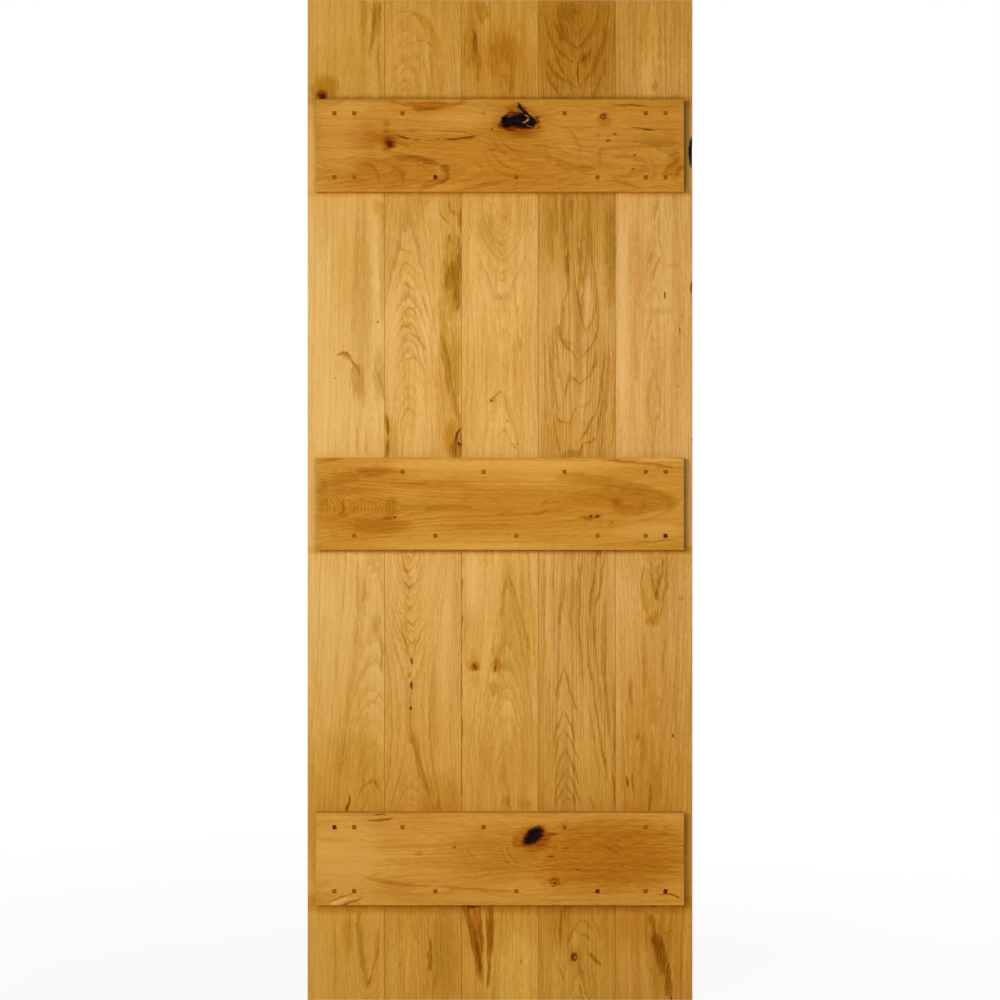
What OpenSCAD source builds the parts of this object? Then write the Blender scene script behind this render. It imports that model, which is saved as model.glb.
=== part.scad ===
// Ledged plank door leaf: tongued and grooved oak boards held together by pegged ledges.
// Millimetres. +Z is up, the ledged side faces -Y, and the origin is the middle of the leaf's foot.

/* [Leaf] */
// Width of the leaf
leaf_w = 762; // [610:1:915]
// Height of the leaf
leaf_h = 1981; // [1800:1:2135]
// Number of upright boards
board_count = 5; // [4:1:7]
// Thickness of the boards
board_t = 20; // [18:0.5:30]
// Bevel on the boards' arrises
board_bevel = 1; // [0.5:0.1:2]
// Gap between neighbouring boards
board_gap = 0.4; // [0.2:0.1:0.8]

/* [Tongue and groove] */
// Thickness of the tongues
tongue_t = 6; // [4:0.5:8]
// Reach of the tongues
tongue_l = 8; // [5:0.5:10]
// Bevel on the tips of the tongues
tongue_bevel = 1; // [0.5:0.1:1.5]
// Room on each side of a tongue in its groove
tongue_room = 0.2; // [0.1:0.05:0.4]

/* [Ledges] */
// Height of each ledge
ledge_h = 182; // [140:1:220]
// Thickness of each ledge
ledge_t = 22; // [18:0.5:30]
// Distance from the leaf's side edges to the ends of the ledges
ledge_inset = 18; // [10:1:40]
// Radius on the arrises of the ledges
ledge_round = 2; // [1:0.5:4]
// From the top of the leaf down to the middle of the top ledge
top_ledge_drop = 292; // [200:1:400]
// From the foot of the leaf up to the middle of the middle ledge
middle_ledge_rise = 983; // [850:1:1100]
// From the foot of the leaf up to the middle of the bottom ledge
bottom_ledge_rise = 283; // [200:1:400]

/* [Pegs] */
// Side of the square pegs
peg_w = 8; // [6:0.5:12]
// Depth of the pegs in the boards
peg_bite = 14; // [8:0.5:16]
// Length of the tapered points of the pegs
peg_point = 4; // [2:0.5:6]
// Depth of the peg heads below the face of the ledge
peg_sink = 0.2; // [0.1:0.1:1]
// Room on each side of a peg in its hole
peg_room = 0.15; // [0.05:0.05:0.3]
// From a ledge's long edges to its rows of pegs
peg_row_inset = 28; // [20:1:50]
// From a ledge's ends to the outermost pegs
peg_end_inset = 37; // [25:1:50]
// Between the two pegs of an end pair
peg_pair_gap = 39; // [25:1:50]
// From the end pair to the first single peg of a row
peg_short_gap = 95; // [60:1:120]
// Most that a peg is turned as it is driven, in degrees
peg_turn = 12; // [0:1:45]

/* [Knots and wane] */
// Length of the largest open knot
knot_l = 45; // [20:1:60]
// Height of the largest open knot
knot_h = 26; // [12:1:36]
// Depth of the largest open knot
knot_depth = 9; // [3:0.5:14]
// Length of the largest waney hollow on a board's edge
wane_l = 58; // [20:1:90]
// Bite of that hollow into the width of the board
wane_bite = 5; // [2:0.5:8]
// Bite of that hollow into the thickness of the board
wane_depth = 8; // [3:0.5:12]

/* [Hidden] */

// Every cut runs this far past the face that it opens
overrun = 1;
$fn = 48;

leaf_t = board_t + ledge_t;
ledge_face_y = -leaf_t / 2;
board_face_y = ledge_face_y + ledge_t;
flush_face_y = board_face_y + board_t;
tongue_y = (board_face_y + flush_face_y) / 2;

board_w = leaf_w / board_count;
groove_t = tongue_t + 2 * tongue_room;
ledge_l = leaf_w - 2 * ledge_inset;

// Heights of the ledges' middles: top, middle and bottom
LEDGE_RISES = [leaf_h - top_ledge_drop, middle_ledge_rise, bottom_ledge_rise];

// Places of the pegs along a ledge, from its middle: a pair at each end and one for each inner board
peg_end_x = ledge_l / 2 - peg_end_inset;
peg_pair_x = peg_end_x - peg_pair_gap;
peg_single_count = board_count - 2;
peg_single_x = peg_short_gap - peg_pair_x;
peg_pitch = (peg_pair_x - peg_single_x) / peg_single_count;
peg_row_z = ledge_h / 2 - peg_row_inset;
upper_row = concat(
    [-peg_end_x, -peg_pair_x],
    [for (k = [0:peg_single_count - 1]) peg_single_x + k * peg_pitch],
    [peg_pair_x, peg_end_x]
);
// The lower row is the upper one turned end for end, so that each board is held by a diagonal pair
PEG_PLACES = concat(
    [for (x = upper_row) [x, peg_row_z]],
    [for (x = upper_row) [-x, -peg_row_z]]
);
peg_tip_w = peg_w / 4;
peg_hole_w = peg_w + 2 * peg_room;

// Angle from one peg's turn to the next, which spreads the turns unevenly
peg_turn_step = 137.5;

// Open knots: ledge, place along and up the ledge, then length, height and depth of the largest knot
// as shares, and the tilt in degrees. The first three make one broken knot with two limbs.
KNOT_SHARES = [
    [0, 0.530, 0.760, 1.00, 1.00, 1.00, 4],
    [0, 0.574, 0.841, 1.13, 0.62, 0.67, -50],
    [0, 0.577, 0.760, 0.75, 0.85, 0.55, -15],
    [2, 0.591, 0.759, 1.20, 0.96, 0.40, 39],
    [2, 0.177, 1.000, 1.20, 0.75, 0.35, 0]
];

// Waney hollows: board, side, place up the leaf, and size, as shares of the height and of the largest one
WANE_SHARES = [
    [4, 1, 0.845, 1.00],
    [4, 1, 0.712, 0.45],
    [1, 1, 0.563, 0.50]
];

// Unevenness of a hollow's outline: share of its radius, number of waves round it, and their phase
LOBE_SHARES = [
    [0.10, 2, 30],
    [0.09, 3, 110],
    [0.05, 5, 200]
];
hollow_sides = 20;
hollow_latitudes = [-60, -30, 0, 30, 60];

function total(list, i = 0) = i < len(list) ? list[i] + total(list, i + 1) : 0;

function outline_share(angle) =
    1 + total([for (lobe = LOBE_SHARES) lobe[0] * sin(lobe[1] * angle + lobe[2])]);

function board_middle(i) = (i + 1 / 2) * board_w - leaf_w / 2;

function peg_angle(ledge, k) =peg_turn * sin((ledge * len(PEG_PLACES) + k) * peg_turn_step);

// An uneven closed pod about the origin: l along X, h along Z, and d deep to each side along Y
module hollow(l, h, d) {
    rings = [
        for (lat = hollow_latitudes, s = [0:hollow_sides - 1])
        let (angle = 360 * s / hollow_sides, reach = cos(lat) * outline_share(angle))
        [reach * cos(angle) * l / 2, d * sin(lat), reach * sin(angle) * h / 2]
    ];
    front = len(rings);
    back = front + 1;
    last = (len(hollow_latitudes) - 1) * hollow_sides;
    function next(s) = (s + 1) % hollow_sides;
    walls = [
        for (r = [0:len(hollow_latitudes) - 2], s = [0:hollow_sides - 1])
        let (a = r * hollow_sides, b = a + hollow_sides)
        each [[a + s, a + next(s), b + next(s)], [a + s, b + next(s), b + s]]
    ];
    caps = [
        for (s = [0:hollow_sides - 1])
        each [[front, next(s), s], [back, last + s, last + next(s)]]
    ];
    polyhedron(points = concat(rings, [[0, -d, 0], [0, d, 0]]), faces = concat(walls, caps));
}

// Outline of one board across its width, with its groove on the left and its tongue on the right
function board_outline(i) =
    let (
        left = (i > 0 ? board_gap / 2 : 0) + i * board_w - leaf_w / 2,
        right = (i + 1) * board_w - leaf_w / 2 - (i < board_count - 1 ? board_gap / 2 : 0),
        shoulder = right + tongue_l - tongue_bevel
    )
    concat(
        [[left + board_bevel, board_face_y], [right - board_bevel, board_face_y]],
        [[right, board_face_y + board_bevel]],
        i == board_count - 1 ? [] : [
            [right, tongue_y - tongue_t / 2],
            [shoulder, tongue_y - tongue_t / 2],
            [right + tongue_l, tongue_y - tongue_t / 2 + tongue_bevel],
            [right + tongue_l, tongue_y + tongue_t / 2 - tongue_bevel],
            [shoulder, tongue_y + tongue_t / 2],
            [right, tongue_y + tongue_t / 2]
        ],
        [[right, flush_face_y - board_bevel], [right - board_bevel, flush_face_y]],
        [[left + board_bevel, flush_face_y], [left, flush_face_y - board_bevel]],
        i == 0 ? [] : [
            [left, tongue_y + groove_t / 2],
            [left + tongue_l, tongue_y + groove_t / 2],
            [left + tongue_l, tongue_y - groove_t / 2],
            [left, tongue_y - groove_t / 2]
        ],
        [[left, board_face_y + board_bevel]]
    );

// Side view of the leaf's boards, with the arrises of their ends bevelled: up the leaf, then across it
module board_end_profile() {
    polygon([
        [0, board_face_y + board_bevel],
        [board_bevel, board_face_y],
        [leaf_h - board_bevel, board_face_y],
        [leaf_h, board_face_y + board_bevel],
        [leaf_h, flush_face_y - board_bevel],
        [leaf_h - board_bevel, flush_face_y],
        [board_bevel, flush_face_y],
        [0, flush_face_y - board_bevel]
    ]);
}

// Turns a profile drawn up and across the leaf into a bar that runs along X over the leaf's width
module along_width(w) {
    translate([w / 2, 0, 0]) rotate([0, -90, 0]) linear_extrude(w) children();
}

module board(i) {
    color("#D9A75C")
    difference() {
        intersection() {
            linear_extrude(leaf_h) polygon(board_outline(i));
            along_width(leaf_w + 2 * overrun) board_end_profile();
        }
        for (ledge = [0:len(LEDGE_RISES) - 1]) peg_holes(ledge, i);
        for (wane = WANE_SHARES) if (wane[0] == i) waney_hollow(wane);
    }
}

// A hollow where bark or a knot was lost from the arris at a board's side
module waney_hollow(wane) {
    edge_x = (wane[0] + (wane[1] + 1) / 2) * board_w - leaf_w / 2;
    size = wane[3];
    translate([edge_x, board_face_y, wane[2] * leaf_h])
    rotate([0, 90, 0])
    hollow(size * wane_l, 2 * size * wane_bite, size * wane_depth);
}

// A bar section of w by ledge_t with its two front corners rounded
module rounded_front(w) {
    translate([ledge_round, 0]) square([w - 2 * ledge_round, ledge_t]);
    translate([0, ledge_round]) square([w, ledge_t - ledge_round]);
    for (x = [ledge_round, w - ledge_round]) translate([x, ledge_round]) circle(ledge_round);
}

module ledge(k) {
    color("#C68C38")
    difference() {
        translate([0, ledge_face_y, LEDGE_RISES[k] - ledge_h / 2])
        intersection() {
            translate([-ledge_l / 2, 0, 0]) linear_extrude(ledge_h) rounded_front(ledge_l);
            along_width(ledge_l) rounded_front(ledge_h);
        }
        peg_holes(k);
        for (knot = KNOT_SHARES) if (knot[0] == k) open_knot(knot);
    }
}

module open_knot(knot) {
    translate([
        (knot[1] - 1 / 2) * ledge_l,
        ledge_face_y,
        LEDGE_RISES[knot[0]] + (knot[2] - 1 / 2) * ledge_h
    ])
    rotate([0, -knot[6], 0])
    hollow(knot[3] * knot_l, knot[4] * knot_h, knot[5] * knot_depth);
}

// Puts its children at each peg of a ledge, with Y pointing into the wood, or at those of one board
module at_pegs(k, only_board = undef) {
    for (p = [0:len(PEG_PLACES) - 1]) {
        place = PEG_PLACES[p];
        off_board = is_undef(only_board) ? 0 : abs(place[0] - board_middle(only_board));
        if (off_board < board_w / 2 + tongue_l + peg_hole_w)
            translate([place[0], ledge_face_y, LEDGE_RISES[k] + place[1]])
            rotate([0, peg_angle(k, p), 0])
            children();
    }
}

module peg_holes(k, only_board = undef) {
    hole_l = overrun + ledge_t + peg_bite + peg_room;
    at_pegs(k, only_board)
    translate([-peg_hole_w / 2, -overrun, -peg_hole_w / 2])
    cube([peg_hole_w, hole_l, peg_hole_w]);
}

// Side view of a peg: a straight shank with a blunt tapered point
module peg_profile() {
    shank_l = ledge_t + peg_bite - peg_point;
    polygon([
        [-peg_w / 2, peg_sink],
        [peg_w / 2, peg_sink],
        [peg_w / 2, shank_l],
        [peg_tip_w / 2, shank_l + peg_point],
        [-peg_tip_w / 2, shank_l + peg_point],
        [-peg_w / 2, shank_l]
    ]);
}

module pegs(k) {
    color("#7F4E17")
    at_pegs(k)
    intersection() {
        translate([0, 0, -peg_w / 2]) linear_extrude(peg_w) peg_profile();
        rotate([0, 90, 0]) translate([0, 0, -peg_w / 2]) linear_extrude(peg_w) peg_profile();
    }
}

for (i = [0:board_count - 1]) {
    board(i);
}
ledge(0);  // top_ledge
ledge(1);  // middle_ledge
ledge(2);  // bottom_ledge
pegs(0);  // top_ledge_pegs
pegs(1);  // middle_ledge_pegs
pegs(2);  // bottom_ledge_pegs
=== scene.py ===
import bpy
import math
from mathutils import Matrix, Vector


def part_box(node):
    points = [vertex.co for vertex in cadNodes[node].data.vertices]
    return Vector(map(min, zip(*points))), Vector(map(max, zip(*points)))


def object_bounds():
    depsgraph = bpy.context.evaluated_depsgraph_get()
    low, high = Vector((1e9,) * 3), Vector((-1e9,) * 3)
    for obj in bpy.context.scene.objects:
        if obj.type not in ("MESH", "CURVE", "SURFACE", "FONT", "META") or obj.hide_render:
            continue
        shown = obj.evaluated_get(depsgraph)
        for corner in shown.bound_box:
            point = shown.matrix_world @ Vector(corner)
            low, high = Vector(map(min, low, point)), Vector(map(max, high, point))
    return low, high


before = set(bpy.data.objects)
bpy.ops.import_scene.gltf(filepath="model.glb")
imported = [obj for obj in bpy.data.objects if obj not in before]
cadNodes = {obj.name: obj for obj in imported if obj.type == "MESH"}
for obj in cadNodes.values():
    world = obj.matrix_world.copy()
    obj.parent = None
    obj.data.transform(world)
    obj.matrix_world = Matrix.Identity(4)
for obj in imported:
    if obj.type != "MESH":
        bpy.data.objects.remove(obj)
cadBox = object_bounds()
mm = 0.001
print("door: frame loaded,", len(cadNodes), "nodes")


# sRGB hex to the linear colour that the shader wants
def toLinear(hexColour):
    channels = [int(hexColour[i:i + 2], 16) / 255 for i in (1, 3, 5)]
    return [c / 12.92 if c <= 0.04045 else ((c + 0.055) / 1.055) ** 2.4 for c in channels] + [1.0]


# Adds one node: its kind, with the operation after a space, then values, nodes or sockets for its inputs,
# in order or as one dictionary by socket. The rest are the node's own settings.
def addNode(tree, kind, *sources, **settings):
    kind, *operation = kind.split()
    node = tree.nodes.new("ShaderNode" + kind)
    if operation:
        node.operation = operation[0]
    for name, value in settings.items():
        setattr(node, name, value)
    links = sources[0] if sources and isinstance(sources[0], dict) else dict(enumerate(sources))
    for socket, source in links.items():
        if isinstance(source, bpy.types.Node):
            source = source.outputs[0]
        if isinstance(source, bpy.types.NodeSocket):
            tree.links.new(source, node.inputs[socket])
        else:
            node.inputs[socket].default_value = source
    return node


def newGroup(name, inputs, outputs):
    tree = bpy.data.node_groups.new(name, "ShaderNodeTree")
    for direction, sockets in (("INPUT", inputs), ("OUTPUT", outputs)):
        for label, kind in sockets.items():
            tree.interface.new_socket(name=label, in_out=direction, socket_type="NodeSocket" + kind)
    return tree, tree.nodes.new("NodeGroupInput").outputs, tree.nodes.new("NodeGroupOutput")


def newMaterial(name):
    material = bpy.data.materials.new(name)
    material.use_nodes = True
    material.node_tree.nodes.clear()
    return material, material.node_tree


# Camera and light
camera = dict(height=990.5, distance=4000, view=1980, sensor=36)  # mm; view is what the frame takes in
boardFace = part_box("board_1")[0].y
cameraData = bpy.data.cameras.new("camera")
cameraData.sensor_width = camera["sensor"]
cameraData.lens = camera["sensor"] * (camera["distance"] * mm + boardFace) / (camera["view"] * mm)
cameraObject = bpy.data.objects.new("camera", cameraData)
cameraObject.location = (0, -camera["distance"] * mm, camera["height"] * mm)
cameraObject.rotation_euler = (math.radians(90), 0, 0)  # level, looking along +Y
bpy.context.scene.collection.objects.link(cameraObject)
bpy.context.scene.camera = cameraObject
bpy.context.scene.view_settings.view_transform = "Standard"

lamps = {  # place and aim in mm, size in mm, power in watts
    "frontSoftbox": dict(at=(0, -1150, 1230), aim=(0, 0, 1150), size=(450, 450), watts=4.4),
    "footSoftbox": dict(at=(100, -1500, 300), aim=(0, 0, 250), size=(500, 500), watts=0.9),
    "keySoftbox": dict(at=(-2600, -4600, 1900), aim=(0, 0, 1000), size=(1400, 1400), watts=137),
    "backFill": dict(at=(1200, 2600, 1900), aim=(0, 0, 950), size=(1600, 1600), watts=75),
}
for name, lamp in lamps.items():
    lampData = bpy.data.lights.new(name, "AREA")
    lampData.shape = "RECTANGLE"
    lampData.size, lampData.size_y = [side * mm for side in lamp["size"]]
    lampData.energy = lamp["watts"]
    lampObject = bpy.data.objects.new(name, lampData)
    lampObject.location = [c * mm for c in lamp["at"]]
    toAim = Vector(lamp["aim"]) - Vector(lamp["at"])
    lampObject.rotation_euler = toAim.to_track_quat("-Z", "Y").to_euler()
    lampObject.visible_camera = False
    bpy.context.scene.collection.objects.link(lampObject)

studio = dict(  # mm; shadowShare is how much of the lit paper shows near the door
    fill="#FFF6EA", fillStrength=0.17, white="#FFFFFF", whiteStrength=1.0, paper="#F4F4F2",
    floorHalf=9000, shadowShare=0.12, shadowFade=(700, 2200),
)
world = bpy.data.worlds.new("studio")
bpy.context.scene.world = world
world.use_nodes = True
worldTree = world.node_tree
worldTree.nodes.clear()


# One for rays that see the background itself: camera, glossy and transmission
def seenDirectly(tree):
    path = addNode(tree, "LightPath").outputs
    either = addNode(tree, "Math MAXIMUM", path["Is Camera Ray"], path["Is Glossy Ray"])
    return addNode(tree, "Math MAXIMUM", either, path["Is Transmission Ray"])


fillLight = addNode(worldTree, "Background", toLinear(studio["fill"]), studio["fillStrength"])
whiteWall = addNode(worldTree, "Background", toLinear(studio["white"]), studio["whiteStrength"])
worldMix = addNode(worldTree, "MixShader", seenDirectly(worldTree), fillLight, whiteWall)
addNode(worldTree, "OutputWorld", worldMix)

floorMesh = bpy.data.meshes.new("floor")
half = studio["floorHalf"] * mm
corners = [(-half, -half, 0), (half, -half, 0), (half, half, 0), (-half, half, 0)]
floorMesh.from_pydata(corners, [], [(0, 1, 2, 3)])
floor = bpy.data.objects.new("floor", floorMesh)
bpy.context.scene.collection.objects.link(floor)

# Seamless studio paper: white to the eye, and it still takes the door's shadow near its foot
paper, paperTree = newMaterial("studio_paper")
paperPlace = addNode(paperTree, "TexCoord").outputs["Object"]
fromDoor = addNode(paperTree, "VectorMath LENGTH", paperPlace).outputs["Value"]
nearFade, farFade = [edge * mm for edge in studio["shadowFade"]]
whiteShare = addNode(paperTree, "MapRange", fromDoor, nearFade, farFade, 1 - studio["shadowShare"], 1.0)
whiteShare = addNode(paperTree, "Math MULTIPLY", seenDirectly(paperTree), whiteShare)
paperMatte = addNode(paperTree, "BsdfDiffuse", toLinear(studio["paper"]))
paperGlow = addNode(paperTree, "Emission", toLinear(studio["white"]), studio["whiteStrength"])
paperMix = addNode(paperTree, "MixShader", whiteShare, paperMatte, paperGlow)
addNode(paperTree, "OutputMaterial", paperMix)
floorMesh.materials.append(paper)
print("door: camera, lamps and floor set")

# Oak figure: growth rings about a pith line that wanders along the piece, cut by the piece's faces
grainSizes = {  # mm across the grain, mm along it, noise detail
    "wander": (46, 240, 1),
    "jag": (7, 24, 2),
    "pores": (0.9, 16, 1),
    "fibre": (2.4, 15, 1),
    "fineStreak": (6, 110, 2),
    "broadStreak": (18, 380, 2),
    "patch": (55, 190, 3),
}
ringTones = (  # place in the year and darkness: dark early wood, then pale late wood
    (0.0, 1.0), (0.2, 0.72), (0.55, 0.25), (0.9, 0.0), (1.0, 1.0),
)
ringLevels = (  # what strengthens or weakens a ring: noise, its range, and the levels at both ends
    ("year", (0.0, 1.0), (0.3, 1.0)),
    ("pores", (0.3, 0.7), (0.6, 1.2)),
    ("wander", (0.3, 0.6), (0.4, 1.1)),
)
yearRun = dict(scale=0.3, detail=1, reach=2.5)  # runs of wide and narrow years, in rings
noiseMean = 0.5  # of a noise texture
evenMix = 0.5  # of the pale and honey tones
figureTree, figureIn, figureOut = newGroup(
    "oakFigure",
    {
        "Along": "Float", "Across": "Float", "Depth": "Float",
        "Pith Across": "Float", "Pith Depth": "Float", "Swell": "Float",
        "Ring Width": "Float", "Squeeze": "Float", "Jag": "Float", "Wander": "Float", "Seed": "Float",
        "Pale": "Color", "Honey": "Color", "Brown": "Color",
        "Figure": "Float", "Streak": "Float", "Patch": "Float",
    },
    {"Colour": "Color", "Height": "Float"},
)
place = addNode(figureTree, "CombineXYZ", figureIn["Across"], figureIn["Depth"], figureIn["Along"])
seedStep = (137, 71, 1013)  # mm from one seed's wood to the next
place = addNode(figureTree, "VectorMath MULTIPLY_ADD", figureIn["Seed"], seedStep, place)
grain = {}
for name, (across, along, detail) in grainSizes.items():
    shrink = (1 / across, 1 / across, 1 / along)
    scaled = addNode(figureTree, "VectorMath MULTIPLY", place, shrink)
    grain[name] = addNode(figureTree, "TexNoise", {"Vector": scaled, "Scale": 1, "Detail": detail})

fromPith, underPith = [
    addNode(figureTree, "Math SUBTRACT", figureIn[side], figureIn["Pith " + side])
    for side in ("Across", "Depth")
]
fromPith = addNode(figureTree, "Math MULTIPLY", fromPith, figureIn["Squeeze"])
radial = addNode(figureTree, "CombineXYZ", fromPith, underPith)
radius = addNode(figureTree, "VectorMath LENGTH", radial).outputs["Value"]
radius = addNode(figureTree, "Math ADD", radius, figureIn["Swell"])
rings = addNode(figureTree, "Math DIVIDE", radius, figureIn["Ring Width"])
for noise, amount in (("wander", "Wander"), ("jag", "Jag")):
    rings = addNode(figureTree, "Math MULTIPLY_ADD", grain[noise], figureIn[amount], rings)
goodYears = addNode(
    figureTree, "TexNoise", {"W": rings, "Scale": yearRun["scale"], "Detail": yearRun["detail"]},
    noise_dimensions="1D",
)
rings = addNode(figureTree, "Math MULTIPLY_ADD", goodYears, yearRun["reach"], rings)
phase = addNode(figureTree, "Math FRACT", rings)
year = addNode(figureTree, "Math FLOOR", rings)
grain["year"] = addNode(
    figureTree, "TexWhiteNoise", {"W": year}, noise_dimensions="1D"
).outputs["Value"]
early = addNode(figureTree, "ValToRGB", phase)
early.color_ramp.interpolation = "EASE"
stops = early.color_ramp.elements
while len(stops) < len(ringTones):
    stops.new(0.5)  # anywhere, since each stop is placed next
for stop, (position, level) in zip(stops, ringTones):
    stop.position = position
    stop.color = (level, level, level, 1)
for noise, (low, high), (least, most) in ringLevels:
    level = addNode(figureTree, "MapRange", grain[noise], low, high, least, most)
    early = addNode(figureTree, "Math MULTIPLY", early, level)

tone = addNode(figureTree, "Math ADD", grain["fineStreak"], grain["broadStreak"])
tone = addNode(figureTree, "Math ADD", tone, grain["fibre"])
tone = addNode(figureTree, "Math SUBTRACT", tone, 3 * noiseMean)
tone = addNode(figureTree, "Math MULTIPLY_ADD", tone, figureIn["Streak"], evenMix)
patchy = addNode(figureTree, "Math SUBTRACT", grain["patch"], noiseMean)
tone = addNode(figureTree, "Math MULTIPLY_ADD", patchy, figureIn["Patch"], tone, use_clamp=True)
ground = addNode(figureTree, "Mix", {0: tone, 6: figureIn["Pale"], 7: figureIn["Honey"]}, data_type="RGBA")
share = addNode(figureTree, "Math MULTIPLY", early, figureIn["Figure"], use_clamp=True)
figured = addNode(figureTree, "Mix", {0: share, 6: ground.outputs[2], 7: figureIn["Brown"]}, data_type="RGBA")
figureTree.links.new(figured.outputs[2], figureOut.inputs["Colour"])
figureTree.links.new(grain["pores"].outputs[0], figureOut.inputs["Height"])

# One stroke on a face: a ragged ellipse, bent to a bow. Endwise and Sidewise are unit vectors over half
# the stroke's length and width, Bow is the bow's rise over half the width, and Fade below 1 spreads
# the hollow side.
strokeTree, strokeIn, strokeOut = newGroup(
    "woodStroke",
    {
        "Place": "Vector", "At": "Vector", "Endwise": "Vector", "Sidewise": "Vector",
        "Bow": "Float", "Blunt": "Float", "Fade": "Float", "Grit": "Float",
        "Edge": "Float", "Ragged": "Float", "Strength": "Float",
    },
    {"Mask": "Float"},
)
offset = addNode(strokeTree, "VectorMath SUBTRACT", strokeIn["Place"], strokeIn["At"])
endwise = addNode(strokeTree, "VectorMath DOT_PRODUCT", offset, strokeIn["Endwise"])
sidewise = addNode(strokeTree, "VectorMath DOT_PRODUCT", offset, strokeIn["Sidewise"])
endwise, sidewise = endwise.outputs["Value"], sidewise.outputs["Value"]
endwise = addNode(strokeTree, "Math MULTIPLY", endwise, endwise)
sidewise = addNode(strokeTree, "Math MULTIPLY_ADD", endwise, strokeIn["Bow"], sidewise)
hollow = addNode(strokeTree, "Math MULTIPLY", sidewise, strokeIn["Fade"])
hollow = addNode(strokeTree, "Math SUBTRACT", 0.0, hollow)
sidewise = addNode(strokeTree, "Math MAXIMUM", sidewise, hollow)
endwise = addNode(strokeTree, "Math POWER", endwise, strokeIn["Blunt"])
away = addNode(strokeTree, "Math MULTIPLY_ADD", sidewise, sidewise, endwise)
away = addNode(strokeTree, "Math MULTIPLY_ADD", strokeIn["Grit"], strokeIn["Ragged"], away)
inner = addNode(strokeTree, "Math SUBTRACT", 1.0, strokeIn["Edge"])
mask = addNode(
    strokeTree, "MapRange", away, 1.0, inner, 0.0, strokeIn["Strength"], interpolation_type="SMOOTHSTEP"
)
strokeTree.links.new(mask.outputs[0], strokeOut.inputs["Mask"])

# Each stroke kind: colour, softness of the edge, raggedness, and for lines the bluntness and fade
stains = {  # the colour is the share of light that a full stain lets through
    "smudge": ("#A48525", 1.0, 1.6, 2, 0.7),
    "streak": ("#CCB762", 1.0, 1.4, 2, 0.5),
    "vein": ("#C3A74D", 1.0, 1.2, 1.4, 0.5),
    "crack": ("#956C1D", 0.9, 0.9, 1, 1.0),
    "pin": ("#7C5113", 0.9, 0.6, 1, 1.0),
    "halo": ("#D4B759", 1.0, 1.0, 2, 1.0),
    "olive": ("#D6CC82", 1.0, 1.4, 2, 1.0),
    "shade": ("#CCBB8B", 1.0, 1.4, 2, 0.8),
    "red": ("#CC9C55", 1.0, 1.2, 2, 1.0),
    "amber": ("#ECDCA4", 1.0, 1.0, 2, 1.0),
    "sap": ("#F0E2CC", 1.0, 1.0, 2, 1.0),  # this one lifts the colour by that share instead
}
covers = {  # the colour hides the wood
    "bark": ("#0E0102", 0.7, 0.8, 2, 1.0),
    "pink": ("#B07A50", 0.8, 0.5, 2, 1.0),
    "pale": ("#EBC078", 1.0, 1.6, 2, 1.0),
    "gold": ("#DCA650", 1.0, 1.4, 2, 1.0),
}
fibre = dict(across=3, along=22, detail=2)  # mm, the fibres that fray a stroke's edge
pull = dict(  # mm, fibres that take a stain more or less; swing is the noise's reach about its mean
    across=1.7, along=26, detail=2, start=5, swing=0.22, least=0.45, most=1.3,
)
sway = dict(  # mm, how strokes stray from a clean curve; starts keep the two directions apart
    across=13, along=42, detail=2, reach=13, starts=dict(X=20, Z=50),
)
overlap = 1.15  # of an arc over its own length, so that a line of arcs has no gaps
paintedDepth = (12, 18)  # mm into the wood over which the ledged side's strokes die out
pithMargin = 1  # mm, so that a straight pith still has a range
arrisTurn = (0.97, 0.8)  # largest part of the normal where an arris begins and where its paler colour, partly wear and partly a painted highlight, is full
endTint = dict(amber="#F4E6A6", heart=1150, near=250, far=950)  # mm: away from the heart height the colour is multiplied towards amber, most at the leaf's top and bottom
finish = dict(bump=0.5, poreDepth=0.15, roughness=(0.66, 0.5), ior=1.5, specular=0.05)  # poreDepth in mm


# Middle, half length, turn and bow of the stroke along an arc of two or three points
def alongArc(points):
    arc = [Vector(point) for point in points]
    chord = arc[-1] - arc[0]
    middle = (arc[0] + arc[-1]) / 2
    side = Vector((-chord.y, chord.x)).normalized()
    rise = (arc[1] - middle).dot(side) if len(arc) == 3 else 0
    turn = math.atan2(chord.y, chord.x)
    if rise < 0:
        turn += math.pi
    return middle + side * rise, chord.length / 2 * overlap, turn, abs(rise) * overlap ** 2


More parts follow.
